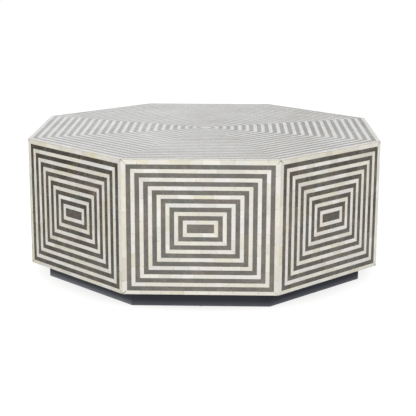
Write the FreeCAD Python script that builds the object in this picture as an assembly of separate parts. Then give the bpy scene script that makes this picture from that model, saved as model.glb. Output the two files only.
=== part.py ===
"""Octagonal drum coffee table, faced with bone strips set in dark resin, on a set-back plinth.

The frame is in millimetres with +Z up. The origin lies on the floor under the middle of the table,
and the front side faces -Y. The other sides follow anticlockwise, seen from above.
"""

import FreeCAD
import Part
import math
import os

# Overall sizes
across_flats = 1000.0  # over two opposite inlaid sides
drum_height = 366.7  # underside of the drum to the polished top
plinth_height = 48.3  # floor to the underside of the drum
plinth_setback = 48.0  # face of the drum to face of the plinth

# Inlay
border_width = 12.1  # outermost bone ring of every face
lower_border_width = 10.4  # the border's strip along the lower edge of a side
bone_width = 10.4  # bone rings inside the border
side_resin_width = 12.35
top_resin_width = 12.55
bone_thickness = 1.6
resin_bed_thickness = 0.4  # resin under the bone
least_block_height = 12.0  # the dark block in the middle of a side is never lower than this
least_centre_apothem = 12.0  # the bone piece in the middle of the top is never smaller than this

# Carcass boards
side_board_thickness = 18.0
top_board_thickness = 18.0
base_board_thickness = 15.0
plinth_board_thickness = 20.0

# Loose tongues in the mitred corners of the drum
tongue_thickness = 4.0
tongue_width = 20.0
tongue_end_cover = 25.0  # solid wood above and below each stopped groove

# Glue blocks in the corners of the drum and of the plinth
block_leg = 40.0  # contact along each of the two boards
block_edge = 10.0  # depth of the block's square ends
plinth_block_height = 30.0

# Cleats under the top, one along each side
cleat_depth = 22.0
cleat_height = 22.0
cleat_end_gap = 2.0

# Stiffener rails under the top, half lapped where they cross
rail_thickness = 22.0
rail_height = 60.0

# Countersunk wood screws
screw_diameter = 4.0
screw_head_diameter = 8.0
screw_head_height = 2.6
screw_point = 4.0
screw_facets = 6  # flat sides that stand in for the round of a screw
screw_tip_cover = 5.0  # wood left over the point of a screw in a board
base_screw_bite = 25.0  # grip in a glue block
cleat_screw_end_distance = 40.0

# Nail-on glides under the plinth
glide_diameter = 16.0
glide_foot_height = 1.2
glide_foot_chamfer = 0.6
glide_nail_diameter = 3.0
glide_nail_length = 14.0
glide_facets = 12

# The octagon
SIDE_NAMES = (
    "front",
    "front_right",
    "right",
    "back_right",
    "back",
    "back_left",
    "left",
    "front_left",
)
SIDE_COUNT = len(SIDE_NAMES)
SIDE_TURN = 360.0 / SIDE_COUNT
HALF_TURN = math.radians(SIDE_TURN / 2)
CORNER_TAN = math.tan(HALF_TURN)  # half a side's length for each unit of apothem
CORNER_COS = math.cos(HALF_TURN)  # apothem for each unit of distance to a corner
UP = FreeCAD.Vector(0, 0, 1)
CENTRE = FreeCAD.Vector(0, 0, 0)

# Apothems and levels that follow from the sizes above
inlay_thickness = bone_thickness + resin_bed_thickness
apothem = across_flats / 2
board_apothem = apothem - inlay_thickness
room_apothem = board_apothem - side_board_thickness
plinth_apothem = apothem - plinth_setback
plinth_room_apothem = plinth_apothem - plinth_board_thickness

drum_bottom = plinth_height
drum_top = drum_bottom + drum_height
inlay_seat = drum_top - inlay_thickness  # upper face of the top board
top_board_bottom = inlay_seat - top_board_thickness
base_board_top = drum_bottom + base_board_thickness
side_board_height = top_board_bottom - drum_bottom
room_height = top_board_bottom - base_board_top

# The inlay pattern: as many rings as leave the middle piece its least size
side_face_half = apothem * CORNER_TAN
side_face_height = inlay_seat - drum_bottom
side_field_height = side_face_height - border_width - lower_border_width
side_field = min(2 * (side_face_half - border_width), side_field_height)
side_ring_count = int((side_field - least_block_height) / (2 * (bone_width + side_resin_width)))
top_field = apothem - border_width + bone_width
top_ring_count = int((top_field - least_centre_apothem) / (bone_width + top_resin_width))


def prism(outline, bottom, height):
    """Upright prism on a closed outline of (x, y) points."""
    corners = [FreeCAD.Vector(x, y, bottom) for x, y in outline]
    return Part.Face(Part.makePolygon(corners + corners[:1])).extrude(UP * height)


def octagon_prism(octagon_apothem, bottom, height):
    """Regular octagon with a flat side towards -Y."""
    reach = octagon_apothem / CORNER_COS
    angles = [HALF_TURN * (2 * corner + 1) for corner in range(SIDE_COUNT)]
    return prism([(reach * math.cos(a), reach * math.sin(a)) for a in angles], bottom, height)


def mitred_board(outer_apothem, thickness, bottom, height):
    """Board of the front side, both upright edges cut on the planes through the octagon's corners."""
    inner_apothem = outer_apothem - thickness
    outer_half = outer_apothem * CORNER_TAN
    inner_half = inner_apothem * CORNER_TAN
    outline = [
        (-outer_half, -outer_apothem),
        (outer_half, -outer_apothem),
        (inner_half, -inner_apothem),
        (-inner_half, -inner_apothem),
    ]
    return prism(outline, bottom, height)


def turned(shape, sides):
    """Copy of a shape, moved on from the front by that many sides."""
    copy = shape.copy()
    copy.rotate(CENTRE, UP, SIDE_TURN * sides)
    return copy


def all_round(shape):
    """Copies of a shape on every side."""
    return [turned(shape, side) for side in range(SIDE_COUNT)]


# The rings of bone, counted from the border of a face


def ring_inset(ring, resin_width):
    """Edge of the face to the outside of a ring."""
    if ring == 0:
        return 0.0
    return border_width + ring * resin_width + (ring - 1) * bone_width


def ring_width(ring):
    return bone_width if ring else border_width


# Inlay of one side


def side_ring_corners(inset):
    """Corners (x, z) of a rectangle that lies that far inside the front side's edges.

    Inside the border it lies nearer to the lower edge, where the border has a width of its own.
    """
    half = side_face_half - inset
    low = drum_bottom
    if inset > 0:
        low += inset - border_width + lower_border_width
    high = inlay_seat - inset
    return [(-half, low), (half, low), (half, high), (-half, high)]


def side_bone_strips():
    """Bone rings of the front side, mitred in each ring's corners.

    The strips of the border are also mitred against those of the next sides.
    """
    bone_layer = mitred_board(apothem, bone_thickness, drum_bottom, side_face_height)
    inward = FreeCAD.Vector(0, bone_thickness, 0)
    strips = []
    for ring in range(side_ring_count + 1):
        inset = ring_inset(ring, side_resin_width)
        outer = side_ring_corners(inset)
        inner = side_ring_corners(inset + ring_width(ring))
        for corner in range(4):
            outline = [outer[corner - 1], outer[corner], inner[corner], inner[corner - 1]]
            points = [FreeCAD.Vector(x, -apothem, z) for x, z in outline]
            strip = Part.Face(Part.makePolygon(points + points[:1])).extrude(inward)
            strips.append(strip.common(bone_layer))
    return strips


def side_resin_bed(strips):
    """Resin that the bone strips of the front side are bedded in, flush with their faces."""
    slab = mitred_board(apothem, inlay_thickness, drum_bottom, side_face_height)
    return slab.cut(strips).removeSplitter()


# Inlay of the top


def top_ring_apothem(ring):
    """Outside of a bone ring of the top. The last one is the middle piece."""
    return apothem - ring_inset(ring, top_resin_width)


def top_bone_strips():
    """Octagonal bone rings of the top, mitred at every corner, and the piece in the middle."""
    bottom = drum_top - bone_thickness
    strips = []
    for ring in range(top_ring_count):
        strip = mitred_board(top_ring_apothem(ring), ring_width(ring), bottom, bone_thickness)
        strips += all_round(strip)
    strips.append(octagon_prism(top_ring_apothem(top_ring_count), bottom, bone_thickness))
    return strips


def top_resin_bed():
    """Resin that the bone rings of the top are bedded in, flush with their faces."""
    bed = octagon_prism(apothem, inlay_seat, resin_bed_thickness)
    lines = []
    for ring in range(top_ring_count):
        outside = top_ring_apothem(ring) - ring_width(ring)
        line = octagon_prism(outside, inlay_seat, inlay_thickness)
        lines.append(line.cut(octagon_prism(outside - top_resin_width, inlay_seat, inlay_thickness)))
    return bed.fuse(lines).removeSplitter()


# Fasteners


def faceted_solid(profile, facets):
    """Solid about +Z with flat sides, from (radius, z) points that start and end on the axis."""

    def on_ring(radius, z, number):
        angle = 2 * math.pi * (number % facets) / facets
        return FreeCAD.Vector(radius * math.cos(angle), radius * math.sin(angle), z)

    faces = []
    for lower, upper in zip(profile, profile[1:]):
        for number in range(facets):
            corners = [on_ring(*lower, number), on_ring(*lower, number + 1)]
            corners += [on_ring(*upper, number + 1), on_ring(*upper, number)]
            if lower[0] == 0:
                del corners[0]
            if upper[0] == 0:
                del corners[-1]
            faces.append(Part.Face(Part.makePolygon(corners + corners[:1])))
    return Part.Solid(Part.Shell(faces))


def upward_screw(x, y, head_z, length):
    """Countersunk screw driven upwards, with its head flush at head_z."""
    head = screw_head_diameter / 2
    shank = screw_diameter / 2
    profile = [
        (0, 0),
        (head, 0),
        (shank, screw_head_height),
        (shank, length - screw_point),
        (0, length),
    ]
    screw = faceted_solid(profile, screw_facets)
    screw.translate(FreeCAD.Vector(x, y, head_z))
    return screw


def glide():
    """Nail-on glide under the middle of the front plinth board."""
    foot = glide_diameter / 2
    nail = glide_nail_diameter / 2
    profile = [
        (0, 0),
        (foot - glide_foot_chamfer, 0),
        (foot, glide_foot_chamfer),
        (foot, glide_foot_height),
        (nail, glide_foot_height),
        (nail, glide_foot_height + glide_nail_length),
        (0, glide_foot_height + glide_nail_length),
    ]
    piece = faceted_solid(profile, glide_facets)
    piece.translate(FreeCAD.Vector(0, plinth_board_thickness / 2 - plinth_apothem, 0))
    return piece


# Glue blocks, cleats, rails and tongues


def corner_point(corner_apothem, inward):
    """Point inward of the corner between the front and front right sides, on that corner's bisector."""
    reach = corner_apothem / CORNER_COS - inward
    return reach * math.sin(HALF_TURN), -reach * math.cos(HALF_TURN)


def block_depth():
    """Depth of a glue block on the bisector of its corner."""
    return block_leg * math.sin(HALF_TURN) + block_edge * math.cos(HALF_TURN)


def glue_block(corner_apothem, bottom, height):
    """Five-sided block in the corner between the front and front right sides."""
    x, y = corner_apothem * CORNER_TAN, -corner_apothem
    along_x, along_y = math.cos(2 * HALF_TURN), math.sin(2 * HALF_TURN)  # along the front right side
    outline = [
        (x, y),
        (x + block_leg * along_x, y + block_leg * along_y),
        (
            x + block_leg * along_x - block_edge * along_y,
            y + block_leg * along_y + block_edge * along_x,
        ),
        (x - block_leg, y + block_edge),
        (x - block_leg, y),
    ]
    return prism(outline, bottom, height)


def cleat_half_length():
    return room_apothem * CORNER_TAN - block_leg - cleat_end_gap


def cleat():
    """Cleat of the front side, against the side board and under the top board."""
    half = cleat_half_length()
    back = -room_apothem
    front = back + cleat_depth
    outline = [(-half, back), (half, back), (half, front), (-half, front)]
    return prism(outline, top_board_bottom - cleat_height, cleat_height)


def stiffener_rail():
    """Rail from the front cleat to the back cleat, with no lap cut yet."""
    half_length = room_apothem - cleat_depth
    half = rail_thickness / 2
    outline = [(-half, -half_length), (half, -half_length), (half, half_length), (-half, half_length)]
    return prism(outline, top_board_bottom - rail_height, rail_height)


def lap_notch(bottom):
    """Half-height notch where the rails cross."""
    half = rail_thickness / 2
    outline = [(-half, -half), (half, -half), (half, half), (-half, half)]
    return prism(outline, bottom, rail_height / 2)


def tongue():
    """Loose tongue across the mitre between the front and front right side boards."""
    wood_inside = room_apothem / CORNER_COS
    wood_outside = board_apothem / CORNER_COS - tongue_width / 2 * CORNER_TAN
    middle = (wood_inside + wood_outside) / 2
    half_width = tongue_width / 2
    half_thickness = tongue_thickness / 2
    outline = [
        (-half_width, -middle - half_thickness),
        (half_width, -middle - half_thickness),
        (half_width, -middle + half_thickness),
        (-half_width, -middle + half_thickness),
    ]
    height = side_board_height - 2 * tongue_end_cover
    piece = prism(outline, drum_bottom + tongue_end_cover, height)
    piece.rotate(CENTRE, UP, SIDE_TURN / 2)
    return piece


# Assembly: first the pieces that others are cut to fit

block_middle = block_depth() / 2

base_screw = upward_screw(
    *corner_point(room_apothem, block_middle),
    drum_bottom,
    base_board_thickness + base_screw_bite,
)
plinth_screw = upward_screw(
    *corner_point(plinth_room_apothem, block_middle),
    drum_bottom - plinth_block_height,
    plinth_block_height + base_board_thickness - screw_tip_cover,
)
cleat_screw_length = cleat_height + top_board_thickness - screw_tip_cover
cleat_screws = [
    upward_screw(
        side * (cleat_half_length() - cleat_screw_end_distance),
        cleat_depth / 2 - room_apothem,
        top_board_bottom - cleat_height,
        cleat_screw_length,
    )
    for side in (-1, 1)
]
front_glide = glide()
right_tongue = tongue()

side_board = mitred_board(board_apothem, side_board_thickness, drum_bottom, side_board_height)
side_board = side_board.cut([right_tongue, turned(right_tongue, -1)])

plinth_board = mitred_board(
    plinth_apothem,
    plinth_board_thickness,
    glide_foot_height,
    plinth_height - glide_foot_height,
).cut(front_glide)

all_cleat_screws = [turned(screw, side) for screw in cleat_screws for side in range(SIDE_COUNT)]
all_base_screws = all_round(base_screw)
all_plinth_screws = all_round(plinth_screw)

top_board = octagon_prism(board_apothem, top_board_bottom, top_board_thickness).cut(all_cleat_screws)
base_board = octagon_prism(room_apothem, drum_bottom, base_board_thickness)
base_board = base_board.cut(all_base_screws + all_plinth_screws)

corner_block = glue_block(room_apothem, base_board_top, room_height).cut(base_screw)
plinth_block = glue_block(plinth_room_apothem, drum_bottom - plinth_block_height, plinth_block_height)
plinth_block = plinth_block.cut(plinth_screw)

rail_bottom = top_board_bottom - rail_height
rail_lap = rail_bottom + rail_height / 2
long_rail = stiffener_rail().cut(lap_notch(rail_bottom))
cross_rail = stiffener_rail()
cross_rail.rotate(CENTRE, UP, 90)
cross_rail = cross_rail.cut(lap_notch(rail_lap))

# Nodes: one file for each piece, and one for each set of like fasteners or inlay strips

nodes = {
    "top_board": [top_board],
    "base_board": [base_board],
    "stiffener_rail_long": [long_rail],
    "stiffener_rail_cross": [cross_rail],
    "corner_tongues": all_round(right_tongue),
    "plinth_blocks": all_round(plinth_block),
    "floor_glides": all_round(front_glide),
    "cleat_screws": all_cleat_screws,
    "base_screws": all_base_screws,
    "plinth_screws": all_plinth_screws,
    "bone_strips_top": top_bone_strips(),
    "resin_bed_top": [top_resin_bed()],
}
bone_strips = side_bone_strips()
resin_bed = side_resin_bed(bone_strips)
side_cleat = cleat().cut(cleat_screws)
for number, name in enumerate(SIDE_NAMES):
    nodes[f"side_board_{name}"] = [turned(side_board, number)]
    nodes[f"corner_block_{number + 1}"] = [turned(corner_block, number)]
    nodes[f"top_cleat_{name}"] = [turned(side_cleat, number)]
    nodes[f"plinth_board_{name}"] = [turned(plinth_board, number)]
    nodes[f"bone_strips_{name}"] = [turned(strip, number) for strip in bone_strips]
    nodes[f"resin_bed_{name}"] = [turned(resin_bed, number)]

os.makedirs("parts", exist_ok=True)
for name, shapes in nodes.items():
    solids = [solid for shape in shapes for solid in shape.Solids]
    shape = solids[0] if len(solids) == 1 else Part.makeCompound(solids)
    shape.exportStep(f"parts/{name}.step")
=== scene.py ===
"""Looks of an octagonal coffee table that is inlaid with bone pieces set in dark resin.

Sizes are in metres, in the part's own frame: +Z up, the origin on the floor under the middle of the table,
and the front side facing -Y.
"""

import math

import bpy
import numpy as np
from bpy.props import FloatProperty, FloatVectorProperty, IntProperty, PointerProperty
from bpy.types import Operator, Panel, PropertyGroup
from mathutils import Matrix, Vector


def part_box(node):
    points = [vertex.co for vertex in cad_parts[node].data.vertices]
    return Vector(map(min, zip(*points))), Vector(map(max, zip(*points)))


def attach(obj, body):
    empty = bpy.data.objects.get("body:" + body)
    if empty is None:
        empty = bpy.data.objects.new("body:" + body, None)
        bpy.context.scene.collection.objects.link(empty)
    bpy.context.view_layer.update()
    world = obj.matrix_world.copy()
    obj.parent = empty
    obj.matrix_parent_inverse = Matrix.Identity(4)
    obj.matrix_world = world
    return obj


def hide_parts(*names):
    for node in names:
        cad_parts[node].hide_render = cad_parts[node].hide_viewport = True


bl_info = {
    "name": "Bone Inlay Coffee Table",
    "version": (1, 0, 0),
    "blender": (4, 5, 0),
    "location": "3D View > Sidebar > Inlay Table",
    "description": "Dresses an octagonal drum table with cut bone pieces, dark resin and a black plinth",
    "category": "Object",
}

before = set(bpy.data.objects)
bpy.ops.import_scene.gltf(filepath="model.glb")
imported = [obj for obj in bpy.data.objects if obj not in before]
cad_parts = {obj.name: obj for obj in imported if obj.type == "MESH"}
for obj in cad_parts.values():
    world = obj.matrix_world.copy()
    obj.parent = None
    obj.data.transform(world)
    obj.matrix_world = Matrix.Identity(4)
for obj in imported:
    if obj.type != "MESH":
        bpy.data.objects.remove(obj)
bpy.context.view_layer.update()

# Sides, anticlockwise from the front as seen from above
SIDES = ("front", "front_right", "right", "back_right", "back", "back_left", "left", "front_left")
SIDE_TURN = 2 * math.pi / len(SIDES)
CORNER_TAN = math.tan(SIDE_TURN / 2)

# Faces of the drum and of the plinth, from the frame
TOP_BED_LOW, TOP_BED_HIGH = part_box("resin_bed_top")
SIDE_BED_LOW, SIDE_BED_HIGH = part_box("resin_bed_front")
PLINTH_LOW, PLINTH_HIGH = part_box("plinth_board_front")
APOTHEM = TOP_BED_HIGH.x
TOP_FACE = TOP_BED_HIGH.z
BONE_DEPTH = TOP_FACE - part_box("bone_strips_top")[0].z
SIDE_BOTTOM = SIDE_BED_LOW.z
SIDE_TOP = SIDE_BED_HIGH.z
SIDE_HALF = APOTHEM * CORNER_TAN
PLINTH_APOTHEM = -PLINTH_LOW.y
PLINTH_INNER_APOTHEM = -PLINTH_HIGH.y

MM = 0.001


def in_mm(name, description, millimetres):
    """A length as a setting."""
    return FloatProperty(name=name, description=description, default=millimetres * MM, unit="LENGTH")


def as_colour(name, description, default):
    """A colour as a setting, in linear values."""
    return FloatVectorProperty(
        name=name, description=description, default=default, subtype="COLOR", min=0.0, max=1.0
    )


def as_level(name, description, default):
    """A brightness as a setting, where 1 is white."""
    return FloatProperty(
        name=name, description=description, default=default, subtype="FACTOR", min=0.0, max=1.0
    )


def as_levels(name, description, default):
    """A near and a far brightness as a setting, where 1 is white."""
    return FloatVectorProperty(name=name, description=description, default=default, size=2, min=0.0, max=1.0)


def in_watts(name, description, watts):
    """A lamp's power as a setting."""
    return FloatProperty(name=name, description=description, default=watts, min=0.0, subtype="POWER")


def in_degrees(name, description, degrees):
    """An angle as a setting."""
    return FloatProperty(name=name, description=description, default=math.radians(degrees), subtype="ANGLE")


class InlaySizes(PropertyGroup):
    """Sizes of the bone pieces, of the resin lines between them and of the plinth's finish."""

    border_width: in_mm("Border Width", "Width of the pocket round the edge of each face", 12.1)
    lower_border_width: in_mm("Lower Border Width", "Width of the border along the lower edge of a side", 10.4)
    bone_width: in_mm("Bone Width", "Width of the pockets inside the border", 10.4)
    side_resin_width: in_mm("Side Resin Width", "Width of a resin line on the sides", 12.35)
    top_resin_width: in_mm("Top Resin Width", "Width of a resin line on the top", 12.55)
    least_middle: in_mm(
        "Least Middle", "Least height of a side's middle block, and least apothem of the top's middle piece", 12.0
    )
    shortest_piece: in_mm("Shortest Piece", "Least length of a bone piece before the strip is filled", 24.0)
    longest_piece: in_mm("Longest Piece", "Greatest length of a bone piece before the strip is filled", 60.0)
    joint_gap: in_mm("Joint Gap", "Usual gap between two bone pieces", 0.1)
    edge_wander: in_mm("Edge Wander", "How far a hand-cut edge may run over the resin", 0.36)
    tip_loss: in_mm("Tip Loss", "How much of a border strip's mitred tip may be lost", 3.2)
    proud: in_mm("Proud", "Height of the bone over the resin", 0.05)
    fine_bevel: in_mm("Fine Bevel", "Worn edge of a bone piece beside resin", 0.18)
    arris: in_mm("Arris", "Eased edge of the drum", 0.8)
    plinth_ease: in_mm("Plinth Ease", "Radius of the outer edges of the plinth boards", 1.5)
    # Reach of the plinth's lighter foot, which is partly dust and partly painted light
    dust_and_light_reach: in_mm("Dust Reach", "How far the dust reaches up the plinth", 20.0)
    seed: IntProperty(name="Seed", description="Start of the random cuts and tints", default=11, min=0)


class FinishColours(PropertyGroup):
    """Colours of the table's materials."""

    bone_pale: as_colour("Pale Bone", "Whitest bone pieces", (0.718, 0.7, 0.672))
    bone_cream: as_colour("Cream Bone", "Yellowest bone pieces", (0.652, 0.612, 0.47))
    bone_pore: as_colour("Bone Pore", "Stain in the pores and joints of the bone", (0.16, 0.135, 0.1))
    resin_brown: as_colour("Brown Resin", "Browner clouds of the cast resin", (0.091, 0.07, 0.052))
    resin_green: as_colour("Green Resin", "Greener clouds of the cast resin", (0.075, 0.078, 0.064))
    plinth_paint: as_colour("Plinth Paint", "Black satin paint of the plinth", (0.012, 0.014, 0.022))
    # Foot colour of the plinth: partly dust, partly painted light on the lower plinth below the drum's shade
    plinth_dust_and_light: as_colour("Plinth Dust", "Dust and scuffs along the foot of the plinth", (0.15, 0.162, 0.185))
    fibreboard: as_colour("Fibreboard", "Bare carcass boards", (0.42, 0.29, 0.18))
    softwood: as_colour("Softwood", "Glue blocks, cleats, rails and tongues", (0.56, 0.39, 0.22))
    steel: as_colour("Screw Steel", "Zinc plated screws", (0.56, 0.56, 0.55))
    nylon: as_colour("Glide Nylon", "Moulded glides under the plinth", (0.05, 0.05, 0.05))


class StudioSettings(PropertyGroup):
    """Light levels and the camera."""

    sky_level: as_level("Sky Level", "Even light from all round", 0.335)
    mirror_level: as_level("Mirror Level", "Brightness of the surroundings in reflections", 0.97)
    floor_glow: as_levels("Floor Glow", "What the floor adds to the camera, at the foot and beyond", (0.72, 0.93))
    floor_mirror: as_levels("Floor Mirror", "What the floor adds in reflections, near and far", (0.57, 0.33))
    left_flag: as_levels("Left Flag", "What the left sides reflect, beside the table and far off", (0.32, 0.0))
    right_flag: as_levels("Right Flag", "What the right sides reflect, beside the table and far off", (0.53, 0.19))
    front_power: in_watts("Front Softbox", "Power of the softbox behind the camera", 58.0)
    side_power: in_watts("Side Softboxes", "Power of each softbox beside the table", 32.5)
    back_power: in_watts("Back Softbox", "Power of the softbox behind the table", 33.0)
    camera_place: FloatVectorProperty(
        name="Camera Place",
        description="Where the camera stands",
        default=(0.0873, -3.3588, 0.9762),
        subtype="TRANSLATION",
        unit="LENGTH",
    )
    camera_yaw: in_degrees("Camera Yaw", "Turn of the view to the right of +Y", -1.356)
    camera_pitch: in_degrees("Camera Pitch", "Tilt of the view below the horizon", 13.564)
    camera_roll: in_degrees("Camera Roll", "Turn of the camera about its own view", 0.196)
    lens: FloatProperty(
        name="Lens",
        description="Focal length on a 36 mm wide sensor, in millimetres",
        default=97.6,
        unit="CAMERA",
        min=1.0,
    )


# Planes that the inlay lies in


def side_plane(number):
    """Origin and axes of a side: level, upright and outward, turned on from the front by whole sides."""
    turn = SIDE_TURN * number
    outward = np.array([math.sin(turn), -math.cos(turn), 0.0])
    level = np.array([math.cos(turn), math.sin(turn), 0.0])
    return outward * APOTHEM, np.stack([level, [0.0, 0.0, 1.0], outward])


def top_plane():
    """Origin and axes of the top: the frame's own axes at the height of the polished face."""
    return np.array([0.0, 0.0, TOP_FACE]), np.eye(3)


def side_ring_corners(inset, sizes):
    """Corners of a rectangle that lies that far inside the edges of a side, anticlockwise from low left.

    Inside the border it lies nearer to the lower edge, where the border has a width of its own.
    """
    half = SIDE_HALF - inset
    low = SIDE_BOTTOM
    if inset > 0.0:
        low += inset - sizes.border_width + sizes.lower_border_width
    high = SIDE_TOP - inset
    return np.array([(-half, low), (half, low), (half, high), (-half, high)])


def top_ring_corners(inset):
    """Corners of an octagon that lies that far inside the edges of the top, anticlockwise from front left."""
    angles = SIDE_TURN * (np.arange(len(SIDES)) - 2.5)
    reach = (APOTHEM - inset) / math.cos(SIDE_TURN / 2)
    return reach * np.stack([np.cos(angles), np.sin(angles)], axis=1)


def ring_span(ring, resin_width, sizes):
    """Edge of a face to the outside and to the inside of a bone ring. Ring 0 is the border."""
    if ring == 0:
        return 0.0, sizes.border_width
    outside = sizes.border_width + ring * resin_width + (ring - 1) * sizes.bone_width
    return outside, outside + sizes.bone_width


# Bone pieces


def strip_cuts(rng, length, mitre, sizes):
    """Places along a strip where it is cut square: random piece lengths, scaled to fill the strip.

    A cut that would fall in one of the two mitres is left out.
    """
    usual = (sizes.shortest_piece + sizes.longest_piece) / 2
    count = max(1, round(length / usual + rng.uniform(-0.5, 0.5)))
    shares = rng.uniform(sizes.shortest_piece, sizes.longest_piece, count)
    cuts = np.cumsum(shares)[:-1] * length / shares.sum()
    room = 1.4 * mitre
    return cuts[(cuts > room) & (cuts < length - room)]


def cut_ring(rng, border, outer, inner, sizes):
    """Cuts a ring of strips into pieces.

    Each edge of the ring is a strip, and its ends are mitred from the ring's outer corners to its inner ones.
    For every piece the result holds its strip's starting corner, its directions along and inward, and where
    it starts and ends along the outer edge. The slopes say how much of the length a mitred end loses for each
    unit across, and are 0 at a square cut.
    """
    runs = np.roll(outer, -1, axis=0) - outer
    lengths = np.linalg.norm(runs, axis=1)
    along = runs / lengths[:, None]
    inward = np.stack([-along[:, 1], along[:, 0]], axis=1)
    mitres = inner - outer
    widths = np.sum(mitres * inward, axis=1)
    start_slopes = np.sum(mitres * along, axis=1) / widths
    end_slopes = -np.sum(np.roll(mitres, -1, axis=0) * along, axis=1) / widths
    longest_mitres = np.maximum(start_slopes, end_slopes) * widths
    starts, ends, strips = [], [], []
    for strip, length in enumerate(lengths):
        cuts = strip_cuts(rng, length, longest_mitres[strip], sizes)
        starts.append(np.concatenate([[0.0], cuts]))
        ends.append(np.concatenate([cuts, [length]]))
        strips.append(np.full(len(cuts) + 1, strip))
    start, end, strip = (np.concatenate(rows) for rows in (starts, ends, strips))
    return {
        "corner": outer[strip],
        "along": along[strip],
        "inward": inward[strip],
        "start": start,
        "end": end,
        "start_slope": np.where(start == 0.0, start_slopes[strip], 0.0),
        "end_slope": np.where(end == lengths[strip], end_slopes[strip], 0.0),
        "strip": strip,
        "border": np.full(len(strip), border),
        "width": widths[strip],
    }


def cut_face(rng, rings, sizes):
    """One table of the pieces of a face, from the outer and inner corners of its rings, the border first."""
    tables = [cut_ring(rng, ring == 0, outer, inner, sizes) for ring, (outer, inner) in enumerate(rings)]
    return {key: np.concatenate([table[key] for table in tables]) for key in tables[0]}


def piece_tints(rng, border, colours):
    """Colour of each piece: a mix of pale and cream bone, a little lighter or darker. The border is creamier."""
    usual_warmth, warmth_spread, border_warmth = 0.36, 0.2, 0.1
    level_spread, green_spread = 0.035, 0.007
    count = len(border)
    warmth = np.clip(rng.normal(usual_warmth, warmth_spread, count) + border_warmth * border, 0.0, 1.0)
    level = 1.0 + rng.normal(0.0, level_spread, count)
    pale, cream = np.array(colours.bone_pale), np.array(colours.bone_cream)
    tint = (pale + (cream - pale) * warmth[:, None]) * level[:, None]
    tint[:, 1] *= 1.0 + rng.normal(0.0, green_spread, count)
    return np.concatenate([np.clip(tint, 0.0, 1.0), np.ones((count, 1))], axis=1)


def prism_faces(count, points):
    """Faces of bevelled prisms whose vertices run top outline, shoulder outline, bottom outline.

    Each prism has a top, a ring of bevels, a ring of walls and a bottom. The quads and the caps are two tables.
    """
    first = 3 * points * np.arange(count)[:, None, None]
    here = np.arange(points)
    after = np.roll(here, -1)
    bevels = np.stack([here + points, after + points, after, here], axis=1)
    walls = np.stack([here + 2 * points, after + 2 * points, after + points, here + points], axis=1)
    quads = first + np.concatenate([bevels, walls])[None]
    caps = first + np.stack([here, 2 * points + here[::-1]])[None]
    return [quads.reshape(-1, 4), caps.reshape(-1, points)]


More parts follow.
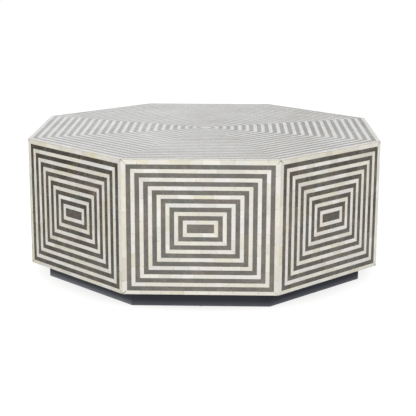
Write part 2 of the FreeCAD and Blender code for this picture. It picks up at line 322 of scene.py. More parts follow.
def strip_prisms(rng, plane, pieces, edge, sizes, colours):
    """Bevelled prisms of all the bone pieces on one face of the drum.

    A piece is drawn in its strip's own directions: x along it from the strip's corner, and across it inward
    from the outer edge. Its outline has a start, a middle and an end on both long edges. Each of these wanders
    a little over the resin, and the ends follow the mitre or a slightly skewed square cut. The outline is then
    set in by the bevels for the top face, and the face is tilted by a hair. The seam value, which darkens the
    joints, is 0 on the top face and 1 below the bevels, but 0 there too along an undarkened outer edge. Where it
    stays 1 along the sides' lower arris, the darkening is painted shade on that downward-facing edge.
    """
    least_gap, more_gap, gap_power = 0.4, 4.0, 6
    least_lost, lost_power = 0.2, 1.5
    skew_spread, tilt_spread, proud_spread = 0.045, 0.0012, 0.4
    count = len(pieces["start"])
    width = pieces["width"][:, None]
    border = pieces["border"]
    over_outer = rng.uniform(0.0, sizes.edge_wander, (count, 3)) * ~border[:, None] - edge["seam"][:, None]
    over_inner = rng.uniform(0.0, sizes.edge_wander, (count, 3))
    gaps = (least_gap + more_gap * rng.uniform(0.0, 1.0, (count, 2)) ** gap_power) * sizes.joint_gap / 2
    skews = rng.normal(0.0, skew_spread, (count, 2))
    skews *= np.stack([pieces["start_slope"] == 0.0, pieces["end_slope"] == 0.0], axis=1)
    lost = rng.uniform(least_lost, 1.0, (count, 2)) ** lost_power * sizes.tip_loss * edge["tip"][:, None]
    lost *= np.stack([pieces["start_slope"] > 0.0, pieces["end_slope"] > 0.0], axis=1)
    tilts = rng.normal(0.0, tilt_spread, (count, 2))
    proud = sizes.proud * rng.uniform(1.0 - proud_spread, 1.0 + proud_spread, count)

    def outline(outer, inner, end_inset):
        """Six points (x, across) from the three across values of each long edge."""
        across = np.concatenate([outer, inner[:, ::-1]], axis=1)
        tip = 1.0 - across / width
        start = pieces["start"] + gaps[:, 0] + end_inset
        end = pieces["end"] - gaps[:, 1] - end_inset
        start = start[:, None] + pieces["start_slope"][:, None] * across
        start += skews[:, :1] * (across - width / 2) + lost[:, :1] * tip
        end = end[:, None] - pieces["end_slope"][:, None] * across
        end += skews[:, 1:] * (across - width / 2) - lost[:, 1:] * tip
        share = np.array([0.0, 0.5, 1.0, 1.0, 0.5, 0.0])
        return np.stack([start + (end - start) * share, across], axis=2)

    outer, inner = -over_outer, width + over_inner
    bevel_outer, bevel_inner = edge["bevel"][:, None], sizes.fine_bevel
    top = outline(outer + bevel_outer, inner - bevel_inner, sizes.fine_bevel)
    shoulder = outline(outer, inner, 0.0)
    bottom = outline(outer + edge["undercut"][:, None] * BONE_DEPTH, inner, 0.0)
    middle = (pieces["start"] + pieces["end"])[:, None] / 2
    top_height = proud[:, None] + tilts[:, :1] * (top[..., 0] - middle)
    top_height = np.clip(top_height + tilts[:, 1:] * (top[..., 1] - width / 2), 0.2 * sizes.proud, None)
    drop = np.concatenate([np.repeat(bevel_outer, 3, axis=1), np.full((count, 3), bevel_inner)], axis=1)
    heights = np.concatenate([top_height, top_height - drop, np.full((count, 6), -BONE_DEPTH)], axis=1)
    drawn = np.concatenate([top, shoulder, bottom], axis=1)

    flat = pieces["corner"][:, None] + drawn[..., :1] * pieces["along"][:, None]
    flat = flat + drawn[..., 1:] * pieces["inward"][:, None]
    origin, axes = plane
    places = origin + flat @ axes[:2] + heights[..., None] * axes[2]
    grain = drawn + rng.uniform(0.0, 10.0, (count, 1, 2))
    seam = np.repeat([0.0, 1.0, 1.0], 6)
    inner_edge = np.tile([0.0, 0.0, 0.0, 1.0, 1.0, 1.0], 3)
    return {
        "places": places.reshape(-1, 3),
        "faces": prism_faces(count, 6),
        "tint": np.repeat(piece_tints(rng, border, colours), len(seam), axis=0),
        "seam": np.where(edge["outer_edge_undarkened"][:, None], seam * inner_edge, seam).ravel(),
        "grain": grain.reshape(-1, 2),
    }


def middle_prism(rng, sizes, colours, inset):
    """The octagonal bone piece in the middle of the top: three outlines of the octagon, the top one set in."""
    corners = top_ring_corners(inset)
    inside = top_ring_corners(inset + sizes.fine_bevel)
    flat = np.concatenate([inside, corners, corners])
    heights = np.repeat([sizes.proud, sizes.proud - sizes.fine_bevel, -BONE_DEPTH], len(SIDES))
    origin, axes = top_plane()
    return {
        "places": origin + flat @ axes[:2] + heights[:, None] * axes[2],
        "faces": prism_faces(1, len(SIDES)),
        "tint": np.repeat(piece_tints(rng, np.array([False]), colours), len(flat), axis=0),
        "seam": np.repeat([0.0, 1.0, 1.0], len(SIDES)),
        "grain": flat,
    }


def mesh_piece(name, parts, material):
    """Object at the origin from tables of places and faces, with their tint, seam and grain values.

    The faces of each part are counted on from the places of the parts before it.
    """
    joined = {key: np.concatenate([part[key] for part in parts]) for key in parts[0] if key != "faces"}
    offsets = np.cumsum([0] + [len(part["places"]) for part in parts])
    tables = [table + offset for part, offset in zip(parts, offsets) for table in part["faces"]]
    corners = np.concatenate([table.ravel() for table in tables])
    face_sizes = np.concatenate([np.full(len(table), table.shape[1]) for table in tables])
    mesh = bpy.data.meshes.new(name)
    mesh.vertices.add(len(joined["places"]))
    mesh.vertices.foreach_set("co", joined["places"].ravel())
    mesh.loops.add(len(corners))
    mesh.loops.foreach_set("vertex_index", corners)
    mesh.polygons.add(len(face_sizes))
    mesh.polygons.foreach_set("loop_start", np.cumsum(face_sizes) - face_sizes)
    mesh.update(calc_edges=True)
    mesh.shade_flat()
    mesh.uv_layers.new(name="Grain").uv.foreach_set("vector", joined["grain"][corners].ravel())
    if "tint" in joined:
        mesh.attributes.new("tint", "FLOAT_COLOR", "POINT").data.foreach_set("color", joined["tint"].ravel())
    # The seam value darkens bone joints and, as painted shade, the sides' lower arris; on the plinth boards it
    # holds the foot's dust and painted light
    mesh.attributes.new("seam", "FLOAT", "POINT").data.foreach_set("value", joined["seam"])
    mesh.validate()
    mesh.materials.append(material)
    piece = bpy.data.objects.new(name, mesh)
    bpy.context.scene.collection.objects.link(piece)
    return piece


def side_edges(pieces, sizes):
    """How the outer edge of each piece on a side is finished.

    The border's uprights are undercut to meet the next side in a mitre with a hairline seam, and its lower
    strip has the drum's arris, which the seam value darkens as painted shade. All border tips may be a little
    short.
    """
    border = pieces["border"]
    upright = border & (pieces["strip"] % 2 == 1)
    lower = border & (pieces["strip"] == 0)
    return {
        "bevel": np.where(lower, sizes.arris, np.where(upright, 0.5 * sizes.arris, sizes.fine_bevel)),
        "seam": np.where(upright, 0.5 * sizes.joint_gap, 0.0),
        "undercut": np.where(upright, CORNER_TAN, 0.0),
        "tip": border.astype(float),
        # Only the uprights stay undarkened; the lower arris keeps the seam darkening, which is painted shade
        "outer_edge_undarkened": upright,
    }


def top_edges(pieces, sizes):
    """How the outer edge of each piece on the top is finished: the border has the drum's arris."""
    border = pieces["border"]
    none = np.zeros(len(border))
    return {
        "bevel": np.where(border, sizes.arris, sizes.fine_bevel),
        "seam": none,
        "undercut": none,
        "tip": 0.5 * border,
        "outer_edge_undarkened": border,
    }


# Shader node helpers


class Shader:
    """A material's node tree with short calls for adding nodes and links."""

    def __init__(self, tree):
        self.nodes = tree.nodes
        self.links = tree.links

    def add(self, kind, inputs=(), **settings):
        """A new node. An input is a pair of a socket's name or number and a value or another node's socket."""
        node = self.nodes.new(kind)
        for key, value in settings.items():
            setattr(node, key, value)
        for key, value in inputs:
            if isinstance(value, bpy.types.NodeSocket):
                self.links.new(value, node.inputs[key])
            else:
                node.inputs[key].default_value = value
        return node

    def maths(self, operation, first, second=0.0):
        """The result of an operation on one or two values."""
        return self.add("ShaderNodeMath", [(0, first), (1, second)], operation=operation).outputs[0]

    def vector_maths(self, operation, inputs, output="Vector"):
        """The result of an operation on vectors or colours."""
        return self.add("ShaderNodeVectorMath", inputs, operation=operation).outputs[output]

    def ranged(self, value, low, high, to_low=0.0, to_high=1.0):
        """A value mapped from one range to another, held within the new one."""
        pairs = [("Value", value), ("From Min", low), ("From Max", high), ("To Min", to_low), ("To Max", to_high)]
        return self.add("ShaderNodeMapRange", pairs).outputs["Result"]

    def spread(self, value, low, high):
        """A value from 0 to 1 mapped to another range."""
        return self.ranged(value, 0.0, 1.0, low, high)

    def mix(self, factor, first, second):
        """Two colours mixed by a factor. The node takes colours in sockets 6 and 7 and gives one in socket 2."""
        pairs = [("Factor", factor), (6, first), (7, second)]
        return self.add("ShaderNodeMix", pairs, data_type="RGBA").outputs[2]

    def noise(self, vector, scale, detail, roughness):
        """Smooth noise from about 0 to 1."""
        pairs = [("Vector", vector), ("Scale", scale), ("Detail", detail), ("Roughness", roughness)]
        return self.add("ShaderNodeTexNoise", pairs).outputs["Fac"]

    def object_place(self):
        """Place in the object's own frame, which is the table's frame for all pieces."""
        return self.add("ShaderNodeTexCoord").outputs["Object"]

    def grain_place(self):
        """Place along and across a bone piece or a board, from its UV map."""
        return self.add("ShaderNodeUVMap", uv_map="Grain").outputs["UV"]

    def attribute(self, name, output):
        """A value or colour that the mesh holds for each of its points."""
        return self.add("ShaderNodeAttribute", attribute_name=name).outputs[output]

    def bump(self, height, strength, distance):
        """Normals of a fine relief."""
        pairs = [("Height", height), ("Strength", strength), ("Distance", distance)]
        return self.add("ShaderNodeBump", pairs).outputs["Normal"]

    def surface(self, inputs):
        """The Principled shader, joined to the material's output."""
        shader = self.add("ShaderNodeBsdfPrincipled", inputs)
        self.add("ShaderNodeOutputMaterial", [("Surface", shader.outputs["BSDF"])])


def opaque(colour, level=1.0):
    """A colour setting as a socket's value, made lighter or darker by a level."""
    return (*(level * part for part in colour), 1.0)


def grey(level):
    """A grey as a socket's value."""
    return (level, level, level, 1.0)


def new_material(name):
    """An empty node material and its helper."""
    material = bpy.data.materials.new(name)
    material.use_nodes = True
    material.node_tree.nodes.clear()
    return material, Shader(material.node_tree)


def new_group(name, inputs, outputs):
    """An empty shader node group with named value and vector sockets, its helper and its two end nodes."""
    tree = bpy.data.node_groups.new(name, "ShaderNodeTree")
    for label, kind in inputs:
        tree.interface.new_socket(name=label, in_out="INPUT", socket_type=kind)
    for label in outputs:
        tree.interface.new_socket(name=label, in_out="OUTPUT", socket_type="NodeSocketFloat")
    shader = Shader(tree)
    return tree, shader, shader.add("NodeGroupInput"), shader.add("NodeGroupOutput")


def grain_group():
    """Group: fibres and pores drawn out along the first coordinate, by a length and a width."""
    name = "Drawn Grain"
    if name in bpy.data.node_groups:
        return bpy.data.node_groups[name]
    sockets = [("Vector", "NodeSocketVector"), ("Length", "NodeSocketFloat"), ("Width", "NodeSocketFloat")]
    tree, shader, given, result = new_group(name, sockets, ["Fibres", "Pores"])
    length, width = given.outputs["Length"], given.outputs["Width"]
    size = shader.add("ShaderNodeCombineXYZ", [("X", length), ("Y", width), ("Z", width)]).outputs["Vector"]
    drawn = shader.vector_maths("DIVIDE", [(0, given.outputs["Vector"]), (1, size)])
    fibres = shader.noise(drawn, 1.0, detail=3.0, roughness=0.55)
    shader.links.new(shader.ranged(fibres, 0.3, 0.7), result.inputs["Fibres"])
    specks = shader.noise(drawn, 2.6, detail=1.0, roughness=0.4)
    shader.links.new(shader.ranged(specks, 0.68, 0.78), result.inputs["Pores"])
    return tree


def scuff_group():
    """Group: broad clouds and fine hazy scuffs of a hand-polished face, both from one scale."""
    name = "Polish Scuffs"
    if name in bpy.data.node_groups:
        return bpy.data.node_groups[name]
    sockets = [("Vector", "NodeSocketVector"), ("Scale", "NodeSocketFloat")]
    tree, shader, given, result = new_group(name, sockets, ["Clouds", "Scuffs"])
    place, scale = given.outputs["Vector"], given.outputs["Scale"]
    clouds = shader.noise(place, scale, detail=3.0, roughness=0.55)
    shader.links.new(shader.ranged(clouds, 0.3, 0.7), result.inputs["Clouds"])
    finer = shader.maths("MULTIPLY", scale, 24.0)
    scuffs = shader.noise(place, finer, detail=2.0, roughness=0.6)
    shader.links.new(shader.ranged(scuffs, 0.35, 0.75), result.inputs["Scuffs"])
    return tree


def polish_group():
    """Group: how much of its polish a face has kept. It has clouds, and the top is worn towards the right."""
    name = "Kept Polish"
    if name in bpy.data.node_groups:
        return bpy.data.node_groups[name]
    sockets = [("Vector", "NodeSocketVector"), ("Scale", "NodeSocketFloat")]
    tree, shader, given, result = new_group(name, sockets, ["Kept"])
    worn_way = (1.0, 0.15, 0.0)
    place, scale = given.outputs["Vector"], given.outputs["Scale"]
    clouds = shader.ranged(shader.noise(place, scale, detail=3.0, roughness=0.55), 0.3, 0.7, 0.2, 0.8)
    height = shader.add("ShaderNodeSeparateXYZ", [("Vector", place)]).outputs["Z"]
    top = shader.ranged(height, TOP_FACE - 2.0 * MM, TOP_FACE - 1.0 * MM)
    along = shader.vector_maths("DOT_PRODUCT", [(0, place), (1, worn_way)], "Value")
    worn = shader.ranged(along, -0.3, 0.35, 0.14, -0.3)
    shader.links.new(shader.maths("ADD", clouds, shader.maths("MULTIPLY", worn, top)), result.inputs["Kept"])
    return tree


def place_group(shader, tree, inputs):
    """Outputs of a node group that is placed in a material."""
    return shader.add("ShaderNodeGroup", inputs, node_tree=tree).outputs


def drawn_grain(shader, place, length, width):
    """Outputs of the grain group."""
    return place_group(shader, grain_group(), [("Vector", place), ("Length", length), ("Width", width)])


def polish_scuffs(shader, place, scale):
    """Outputs of the scuff group."""
    return place_group(shader, scuff_group(), [("Vector", place), ("Scale", scale)])


def worn_coat(shader, place):
    """Inputs of the polish that bone and resin share, from next to none where it is worn to nearly whole."""
    kept = place_group(shader, polish_group(), [("Vector", place), ("Scale", 4.5)])["Kept"]
    return [("Coat Weight", shader.spread(kept, 0.02, 0.78)), ("Coat Roughness", 0.12)]


# Materials


def bone_material(colours):
    """Polished bone: each piece's own tint, fibres along the piece, stained pores, dark joints and a lower arris
    darkened as painted shade.
    """
    material, shader = new_material("Polished bone")
    place = shader.object_place()
    grain = drawn_grain(shader, shader.grain_place(), 16.0 * MM, 1.1 * MM)
    scuffs = polish_scuffs(shader, place, 26.0)
    light = shader.spread(scuffs["Clouds"], 0.955, 1.03)
    light = shader.maths("MULTIPLY", light, shader.spread(grain["Fibres"], 0.95, 1.035))
    colour = shader.vector_maths("SCALE", [(0, shader.attribute("tint", "Color")), ("Scale", light)])
    pore = opaque(colours.bone_pore)
    colour = shader.mix(shader.maths("MULTIPLY", grain["Pores"], 0.35), colour, pore)
    # Darkens the joints, and the sides' lower arris as painted shade
    colour = shader.mix(shader.maths("MULTIPLY", shader.attribute("seam", "Fac"), 0.45), colour, pore)
    relief = shader.maths("SUBTRACT", shader.maths("MULTIPLY", grain["Fibres"], 0.5), grain["Pores"])
    shader.surface(
        [
            ("Base Color", colour),
            ("Roughness", shader.spread(scuffs["Scuffs"], 0.2, 0.34)),
            ("Specular IOR Level", 0.8),
            *worn_coat(shader, place),
            ("Normal", shader.bump(relief, 0.12, 0.2 * MM)),
        ]
    )
    return material


def resin_material(colours):
    """Cast resin, sanded flush: cloudy, mottled grey in two tints, unevenly polished, with a few pale specks."""
    material, shader = new_material("Dark resin")
    place = shader.object_place()
    scuffs = polish_scuffs(shader, place, 14.0)
    drift = polish_scuffs(shader, place, 19.0)
    mottle = polish_scuffs(shader, place, 58.0)
    bubbles = shader.add("ShaderNodeTexVoronoi", [("Vector", place), ("Scale", 95.0)]).outputs["Distance"]
    specks = shader.ranged(bubbles, 0.045, 0.03)
    colour = shader.mix(drift["Clouds"], opaque(colours.resin_green), opaque(colours.resin_brown))
    light = shader.spread(scuffs["Clouds"], 0.62, 1.38)
    light = shader.maths("MULTIPLY", light, shader.spread(mottle["Clouds"], 0.72, 1.28))
    colour = shader.vector_maths("SCALE", [(0, colour), ("Scale", light)])
    pale = opaque(colours.bone_cream)
    colour = shader.mix(shader.maths("MULTIPLY", scuffs["Scuffs"], 0.025), colour, pale)
    colour = shader.mix(shader.maths("MULTIPLY", specks, 0.5), colour, pale)
    shader.surface(
        [
            ("Base Color", colour),
            ("Roughness", shader.spread(scuffs["Clouds"], 0.22, 0.32)),
            ("Specular IOR Level", 0.8),
            *worn_coat(shader, place),
            ("Normal", shader.bump(scuffs["Scuffs"], 0.03, 0.2 * MM)),
        ]
    )
    return material


def paint_material(colours):
    """Black satin paint: brush marks along the board, faint clouds and a foot made lighter by dust and painted
    light.
    """
    material, shader = new_material("Black satin paint")
    brush = drawn_grain(shader, shader.grain_place(), 90.0 * MM, 2.2 * MM)
    dust_and_light = polish_scuffs(shader, shader.object_place(), 9.0)
    colour = shader.mix(dust_and_light["Clouds"], opaque(colours.plinth_paint), opaque(colours.plinth_paint, 1.4))
    # Dust and painted light: the foot is mixed towards a lighter, bluer colour by the plinth boards' seam value
    dust_and_light_share = shader.maths("MULTIPLY", shader.attribute("seam", "Fac"), shader.spread(dust_and_light["Scuffs"], 0.75, 1.0))
    shader.surface(
        [
            ("Base Color", shader.mix(dust_and_light_share, colour, opaque(colours.plinth_dust_and_light))),
            ("Roughness", shader.spread(brush["Fibres"], 0.42, 0.56)),
            ("Specular IOR Level", 0.32),
            ("Normal", shader.bump(brush["Fibres"], 0.25, 0.3 * MM)),
        ]
    )
    return material


def fibreboard_material(colours):
    """Bare fibreboard: fine short fibres in two browns, with a dull face."""
    material, shader = new_material("Bare fibreboard")
    scuffs = polish_scuffs(shader, shader.object_place(), 40.0)
    colour = shader.mix(scuffs["Scuffs"], opaque(colours.fibreboard, 0.8), opaque(colours.fibreboard))
    colour = shader.mix(shader.maths("MULTIPLY", scuffs["Clouds"], 0.25), colour, opaque(colours.softwood))
    shader.surface(
        [
            ("Base Color", colour),
            ("Roughness", shader.spread(scuffs["Clouds"], 0.7, 0.85)),
            ("Normal", shader.bump(scuffs["Scuffs"], 0.2, 0.3 * MM)),
        ]
    )
    return material


def softwood_material(colours):
    """Planed softwood: growth lines as stretched bands with darker late wood."""
    material, shader = new_material("Planed softwood")
    grain = drawn_grain(shader, shader.object_place(), 220.0 * MM, 6.0 * MM)
    shader.surface(
        [
            ("Base Color", shader.mix(grain["Fibres"], opaque(colours.softwood, 0.62), opaque(colours.softwood))),
            ("Roughness", shader.spread(grain["Fibres"], 0.5, 0.65)),
            ("Normal", shader.bump(grain["Fibres"], 0.15, 0.3 * MM)),
        ]
    )
    return material


def steel_material(colours):
    """Zinc plated steel with a mottled, slightly hazy face."""
    material, shader = new_material("Zinc plated steel")
    scuffs = polish_scuffs(shader, shader.object_place(), 180.0)
    shader.surface(
        [
            ("Base Color", shader.mix(scuffs["Clouds"], opaque(colours.steel, 0.75), opaque(colours.steel))),
            ("Metallic", 1.0),
            ("Roughness", shader.spread(scuffs["Scuffs"], 0.28, 0.42)),
        ]
    )
    return material


def nylon_material(colours):
    """Moulded nylon with a faint spark-eroded texture."""
    material, shader = new_material("Moulded nylon")
    scuffs = polish_scuffs(shader, shader.object_place(), 120.0)
    shader.surface(
        [
            ("Base Color", shader.mix(scuffs["Clouds"], opaque(colours.nylon), opaque(colours.nylon, 1.6))),
            ("Roughness", shader.spread(scuffs["Scuffs"], 0.45, 0.6)),
            ("Normal", shader.bump(scuffs["Scuffs"], 0.15, 0.2 * MM)),
        ]
    )
    return material


def dress_nodes(names, material):
    """Gives parts of the frame a material in all their slots."""
    for name in names:
        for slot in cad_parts[name].material_slots:
            slot.material = material


# Plinth


def plinth_board(number, sizes):
    """One mitred board: a closed profile of apothem and height, carried between the two mitre planes.

    A point at apothem r runs along its side from -r tan(22.5 deg) to r tan(22.5 deg), so both ends are mitred.
    The outer edges of the profile are quarter circles. The foot value, partly dust and partly painted light, falls
    from its most at the floor to 0 at its reach, as a power of the height that is left, so the foot is painted
    lighter than the shaded top under the drum. The boards on the left get more of it, as more painted light.
    """
    lengths, arc_points, face_points = 24, 5, 12
    # How much lighter the foot is painted, as dust and painted light, how much more on the left boards, and how
    # fast it fades upward
    most_dust_and_light, more_dust_and_light_on_left, falloff = 0.88, 1.2, 1.42
    low, high, ease = PLINTH_LOW.z, PLINTH_HIGH.z, sizes.plinth_ease
    arc = np.linspace(0.0, math.pi / 2, arc_points)
    lower = np.stack([-ease + ease * np.sin(arc), ease - ease * np.cos(arc)], axis=1) + (PLINTH_APOTHEM, low)
    upper = np.stack([-ease + ease * np.cos(arc), -ease + ease * np.sin(arc)], axis=1) + (PLINTH_APOTHEM, high)
    face = np.linspace(lower[-1], upper[0], face_points)[1:-1]
    back = np.array([(PLINTH_INNER_APOTHEM, high), (PLINTH_INNER_APOTHEM, low)])
    profile = np.concatenate([lower, face, upper, back])
    turn = SIDE_TURN * number
    height_left = np.clip(1.0 - profile[:, 1] / sizes.dust_and_light_reach, 0.0, 1.0)
    dust_and_light = (most_dust_and_light + more_dust_and_light_on_left * max(0.0, -math.sin(turn))) * height_left**falloff
    share = np.linspace(-1.0, 1.0, lengths + 1)
    level = share[:, None] * profile[None, :, 0] * CORNER_TAN
    outward = np.array([math.sin(turn), -math.cos(turn)])
    along = np.array([math.cos(turn), math.sin(turn)])
    flat = level[..., None] * along + profile[None, :, :1] * outward
    height = np.broadcast_to(profile[None, :, 1:], (*level.shape, 1))
    index = np.arange(level.size).reshape(level.shape)
    after = np.roll(index, -1, axis=1)
    quads = np.stack([index[:-1], index[1:], after[1:], after[:-1]], axis=2)
    girth = np.concatenate([[0.0], np.cumsum(np.linalg.norm(np.diff(profile, axis=0), axis=1))])
    grain = np.stack([level, np.broadcast_to(girth, level.shape)], axis=2) + number
    return {
        "places": np.concatenate([flat, height], axis=2).reshape(-1, 3),
        "faces": [quads.reshape(-1, 4), np.stack([index[0], index[-1, ::-1]])],
        # On a plinth board the seam value holds the foot's dust and painted light
        "seam": np.tile(dust_and_light, lengths + 1),
        "grain": grain.reshape(-1, 2),
    }


# Stage

FLOOR_HALF = 40.0
FLOOR_WHITE, FLOOR_SEEN = 0.9, 0.27

# Distances from the table's middle between which the stage's brightness changes
FOOT_REACH = (0.44, 0.56)
MIRROR_REACH = (0.55, 2.4)
FLAG_REACH = (0.7, 2.4)

# Reflection flags: name of the sheet and of its levels, hand, and offset of its near edge from the middle
FLAGS = (("left_flag", -1, 0.49), ("right_flag", 1, 0.46))
FLAG_LIFT = 2.0 * MM
FLAG_FAR_CORNERS = ((16.0, -5.0), (16.0, 8.0))

# Softboxes: place, width and height, the setting that holds its power, and spread in degrees
SOFTBOXES = {
    "Front softbox": ((0.0, -3.6, 2.0), (3.6, 2.2), "front_power", 180.0),
    "Left softbox": ((-2.6, -1.6, 1.4), (1.6, 1.6), "side_power", 180.0),
    "Right softbox": ((2.6, -1.6, 1.4), (1.6, 1.6), "side_power", 180.0),
    "Back softbox": ((0.0, 4.2, 1.6), (3.6, 1.8), "back_power", 100.0),
}

SENSOR_WIDTH = 36.0
CLIP_END = 200.0


def stage_sheet(name, corners, material):
    """A flat four-cornered sheet of the stage."""
    mesh = bpy.data.meshes.new(name)
    mesh.from_pydata(corners, [], [(0, 1, 2, 3)])
    mesh.materials.append(material)
    sheet = bpy.data.objects.new(name, mesh)
    bpy.context.scene.collection.objects.link(sheet)
    return sheet


def floor_material(studio):
    """White floor that keeps the table's shadow and is lifted to white where it is seen.

    The camera sees a darker colour and more of its own glow, so that no lamp makes the floor brighter than
    white, which would eat into the table's outline. The glow is weaker at the foot, where the shadow lies.
    Reflections show another glow, which fades with the distance from the table.
    """
    material, shader = new_material("White floor")
    reach = shader.vector_maths("LENGTH", [(0, shader.object_place())], "Value")
    path = shader.add("ShaderNodeLightPath").outputs
    seen = shader.maths("MAXIMUM", path["Is Camera Ray"], path["Is Transmission Ray"])
    glow = shader.maths("MULTIPLY", seen, shader.ranged(reach, *FOOT_REACH, *studio.floor_glow))
    mirrored = shader.ranged(reach, *MIRROR_REACH, *studio.floor_mirror)
    glow = shader.maths("ADD", glow, shader.maths("MULTIPLY", path["Is Glossy Ray"], mirrored))
    shader.surface(
        [
            ("Base Color", shader.mix(seen, grey(FLOOR_WHITE), grey(FLOOR_SEEN))),
            ("Roughness", 1.0),
            ("Specular IOR Level", 0.0),
            ("Emission Color", grey(1.0)),
            ("Emission Strength", glow),
        ]
    )
    return material


def reflection_flag(name, hand, offset, levels):
    """Sheet on the floor beside the table that only reflections show, to darken the polished sides facing it.

    Its near edge is parallel to the front corner side on that hand, at the offset from the table's middle. Its
    brightness runs from the first level beside the table to the second one far off.
    """
    material, shader = new_material(name)
    across = shader.add("ShaderNodeSeparateXYZ", [("Vector", shader.object_place())]).outputs["X"]
    level = shader.ranged(shader.maths("ABSOLUTE", across), *FLAG_REACH, *levels)
    glow = shader.add("ShaderNodeEmission", [("Color", grey(1.0)), ("Strength", level)])
    shader.add("ShaderNodeOutputMaterial", [("Surface", glow.outputs["Emission"])])
    back = math.sqrt(2.0) * offset
    corners = [(back - APOTHEM, -APOTHEM), *FLAG_FAR_CORNERS, (back, 0.0)]
    sheet = stage_sheet(name, [(hand * x, y, FLAG_LIFT) for x, y in corners], material)
    sheet.visible_camera = False
    sheet.visible_diffuse = False
    sheet.visible_transmission = False
    sheet.visible_shadow = False


def white_world(studio):
    """World that is white to the camera, greyer in reflections, and lights the table evenly at the sky level."""
    world = bpy.data.worlds.new("Studio")
    world.use_nodes = True
    world.node_tree.nodes.clear()
    shader = Shader(world.node_tree)
    path = shader.add("ShaderNodeLightPath").outputs
    level = shader.spread(path["Is Glossy Ray"], studio.sky_level, studio.mirror_level)
    seen = shader.maths("MAXIMUM", path["Is Camera Ray"], path["Is Transmission Ray"])
    level = shader.maths("MAXIMUM", level, seen)
    cool = shader.mix(path["Is Glossy Ray"], grey(1.0), (0.99, 1.0, 1.03, 1.0))
    light = shader.add("ShaderNodeBackground", [("Color", cool), ("Strength", level)])
    shader.add("ShaderNodeOutputWorld", [("Surface", light.outputs["Background"])])
    bpy.context.scene.world = world


def softbox(name, place, size, power, spread):
    """Rectangular lamp that faces the table. The polished faces show the surroundings but not the lamp."""
    lamp = bpy.data.lights.new(name, "AREA")
    lamp.shape = "RECTANGLE"
    lamp.size, lamp.size_y = size
    lamp.energy = power
    lamp.spread = spread
    box = bpy.data.objects.new(name, lamp)
    facing = (Vector((0.0, 0.0, TOP_FACE / 2)) - Vector(place)).to_track_quat("-Z", "Y")
    box.matrix_world = Matrix.Translation(place) @ facing.to_matrix().to_4x4()
    box.visible_glossy = False
    bpy.context.scene.collection.objects.link(box)


def studio_camera(studio):
    """Camera from its place, yaw, pitch and roll. It looks along +Y when all three angles are 0."""
    yaw, pitch = studio.camera_yaw, studio.camera_pitch
    forward = Vector((math.sin(yaw) * math.cos(pitch), math.cos(yaw) * math.cos(pitch), -math.sin(pitch)))
    right = Vector((math.cos(yaw), -math.sin(yaw), 0.0))
    level = Matrix((right, right.cross(forward), -forward)).transposed()
    turn = level @ Matrix.Rotation(studio.camera_roll, 3, "Z")
    data = bpy.data.cameras.new("Camera")
    data.lens = studio.lens
    data.sensor_width = SENSOR_WIDTH
    data.clip_end = CLIP_END
    camera = bpy.data.objects.new("Camera", data)
    camera.matrix_world = Matrix.Translation(studio.camera_place) @ turn.to_4x4()
    bpy.context.scene.collection.objects.link(camera)
    bpy.context.scene.camera = camera


# Operators


class TABLE_OT_lay_side_bone(Operator):
    """Cut bone pieces for the eight sides and lay them in their pockets"""

    bl_idname = "inlay_table.lay_side_bone"
    bl_label = "Lay Side Bone"

    def execute(self, context):
        sizes, colours = context.scene.inlay_sizes, context.scene.finish_colours
        material = bone_material(colours)
        resin = sizes.side_resin_width
        field_height = SIDE_TOP - SIDE_BOTTOM - sizes.border_width - sizes.lower_border_width
        field = min(2 * (SIDE_HALF - sizes.border_width), field_height)
        ring_count = int((field - sizes.least_middle) / (2 * (sizes.bone_width + resin))) + 1
        spans = [ring_span(ring, resin, sizes) for ring in range(ring_count)]
        rings = [(side_ring_corners(outer, sizes), side_ring_corners(inner, sizes)) for outer, inner in spans]
        for number, side in enumerate(SIDES):
            rng = np.random.default_rng([sizes.seed, number])
            pieces = cut_face(rng, rings, sizes)
            edges = side_edges(pieces, sizes)
            prisms = strip_prisms(rng, side_plane(number), pieces, edges, sizes, colours)
            inlay = mesh_piece(f"bone_pieces_{side}", [prisms], material)
            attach(inlay, "root")
            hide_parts(f"bone_strips_{side}")
        return {"FINISHED"}


class TABLE_OT_lay_top_bone(Operator):
    """Cut bone pieces for the rings of the top and lay them in their pockets"""

    bl_idname = "inlay_table.lay_top_bone"
    bl_label = "Lay Top Bone"

    def execute(self, context):
        sizes, colours = context.scene.inlay_sizes, context.scene.finish_colours
        material = bpy.data.materials["Polished bone"]
        resin = sizes.top_resin_width
        field = APOTHEM - sizes.border_width + sizes.bone_width
        ring_count = int((field - sizes.least_middle) / (sizes.bone_width + resin))
        spans = [ring_span(ring, resin, sizes) for ring in range(ring_count + 1)]
        rings = [(top_ring_corners(outer), top_ring_corners(inner)) for outer, inner in spans[:-1]]
        rng = np.random.default_rng([sizes.seed, len(SIDES)])
        pieces = cut_face(rng, rings, sizes)
        prisms = strip_prisms(rng, top_plane(), pieces, top_edges(pieces, sizes), sizes, colours)
        middle = middle_prism(rng, sizes, colours, spans[-1][0])
        inlay = mesh_piece("bone_pieces_top", [prisms, middle], material)
        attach(inlay, "root")
        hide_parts("bone_strips_top")
        return {"FINISHED"}


class TABLE_OT_polish_resin(Operator):
    """Give the resin beds their dark polished finish"""

    bl_idname = "inlay_table.polish_resin"
    bl_label = "Polish Resin"

    def execute(self, context):
        names = ["resin_bed_top"] + [f"resin_bed_{side}" for side in SIDES]
        dress_nodes(names, resin_material(context.scene.finish_colours))
        return {"FINISHED"}


class TABLE_OT_paint_plinth(Operator):
    """Make the eight plinth boards with eased edges and paint them black"""

    bl_idname = "inlay_table.paint_plinth"
    bl_label = "Paint Plinth"

    def execute(self, context):
        sizes = context.scene.inlay_sizes
        material = paint_material(context.scene.finish_colours)
        for number, side in enumerate(SIDES):
            board = mesh_piece(f"plinth_{side}", [plinth_board(number, sizes)], material)
            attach(board, "root")
            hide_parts(f"plinth_board_{side}")
        return {"FINISHED"}


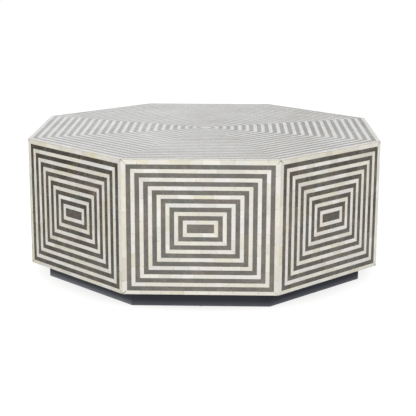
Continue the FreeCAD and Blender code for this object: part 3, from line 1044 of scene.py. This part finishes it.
class TABLE_OT_finish_carcass(Operator):
    """Give the boards, timber, screws and glides their finishes"""

    bl_idname = "inlay_table.finish_carcass"
    bl_label = "Finish Carcass"

    def execute(self, context):
        colours = context.scene.finish_colours
        boards = ["top_board", "base_board"] + [f"side_board_{side}" for side in SIDES]
        timber = ["stiffener_rail_long", "stiffener_rail_cross", "corner_tongues", "plinth_blocks"]
        timber += [f"top_cleat_{side}" for side in SIDES]
        timber += [f"corner_block_{number + 1}" for number in range(len(SIDES))]
        dress_nodes(boards, fibreboard_material(colours))
        dress_nodes(timber, softwood_material(colours))
        dress_nodes(["cleat_screws", "base_screws", "plinth_screws"], steel_material(colours))
        dress_nodes(["floor_glides"], nylon_material(colours))
        return {"FINISHED"}


class TABLE_OT_set_stage(Operator):
    """Set up the white floor, the soft light and the camera"""

    bl_idname = "inlay_table.set_stage"
    bl_label = "Set Stage"

    def execute(self, context):
        scene = context.scene
        studio = scene.studio_settings
        scene.view_settings.view_transform = "Standard"
        corners = [(x * FLOOR_HALF, y * FLOOR_HALF, 0.0) for x, y in ((-1, -1), (1, -1), (1, 1), (-1, 1))]
        stage_sheet("floor", corners, floor_material(studio))
        white_world(studio)
        for name, hand, offset in FLAGS:
            reflection_flag(name, hand, offset, getattr(studio, name))
        for name, (place, size, setting, spread) in SOFTBOXES.items():
            softbox(name, place, size, getattr(studio, setting), math.radians(spread))
        studio_camera(studio)
        return {"FINISHED"}


class TABLE_PT_inlay_table(Panel):
    """Sidebar panel with the steps in order and the values that they use"""

    bl_idname = "TABLE_PT_inlay_table"
    bl_label = "Inlay Table"
    bl_space_type = "VIEW_3D"
    bl_region_type = "UI"
    bl_category = "Inlay Table"

    def draw(self, context):
        layout = self.layout
        for step in STEPS:
            layout.operator(step.bl_idname)
        for group in (context.scene.inlay_sizes, context.scene.finish_colours, context.scene.studio_settings):
            box = layout.box()
            for name in group.__annotations__:
                box.prop(group, name)


STEPS = (
    TABLE_OT_lay_side_bone,
    TABLE_OT_lay_top_bone,
    TABLE_OT_polish_resin,
    TABLE_OT_paint_plinth,
    TABLE_OT_finish_carcass,
    TABLE_OT_set_stage,
)
CLASSES = (InlaySizes, FinishColours, StudioSettings, *STEPS, TABLE_PT_inlay_table)


def register():
    """Registers the classes and gives each scene its settings."""
    for cls in CLASSES:
        bpy.utils.register_class(cls)
    bpy.types.Scene.inlay_sizes = PointerProperty(type=InlaySizes)
    bpy.types.Scene.finish_colours = PointerProperty(type=FinishColours)
    bpy.types.Scene.studio_settings = PointerProperty(type=StudioSettings)


def unregister():
    """Takes the settings and the classes away again."""
    del bpy.types.Scene.studio_settings
    del bpy.types.Scene.finish_colours
    del bpy.types.Scene.inlay_sizes
    for cls in reversed(CLASSES):
        bpy.utils.unregister_class(cls)


def main():
    """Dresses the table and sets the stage."""
    register()
    bpy.ops.inlay_table.lay_side_bone()
    bpy.ops.inlay_table.lay_top_bone()
    bpy.ops.inlay_table.polish_resin()
    bpy.ops.inlay_table.paint_plinth()
    bpy.ops.inlay_table.finish_carcass()
    bpy.ops.inlay_table.set_stage()


if __name__ == "__main__":
    main()
